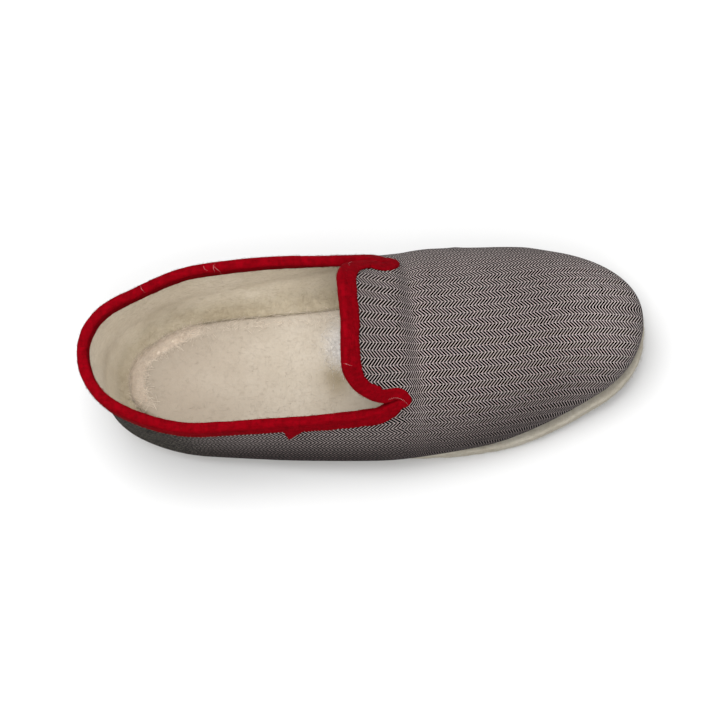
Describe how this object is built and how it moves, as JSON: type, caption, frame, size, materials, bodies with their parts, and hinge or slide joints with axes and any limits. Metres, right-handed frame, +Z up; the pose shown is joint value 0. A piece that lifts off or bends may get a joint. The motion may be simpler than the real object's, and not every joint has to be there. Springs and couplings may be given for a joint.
{
  "type": "slipper",
  "caption": "Right-foot house slipper: domed cloth upper with a raised tab, felt edge binding round the collar, wool lining and insole on a flat felt sole.",
  "frame": {"origin": "on the floor plane, under the middle of the slipper's bounding box", "axes": "+X towards the toe, +Y towards the inner side of the foot, +Z up"},
  "size_m": [0.2695, 0.1007, 0.0819],
  "materials": {
    "upper": "black and off-white herringbone wool cloth, cream fleece inside",
    "edge_binding": "deep red wool felt, fuzzy",
    "insole": "cream wool with a woolly top",
    "felt_sole": "thick off-white felt"
  },
  "bodies": {
    "root": {"upper": "upper", "edge_binding": "edge_binding", "insole": "insole", "felt_sole": "felt_sole"}
  },
  "joints": []
}
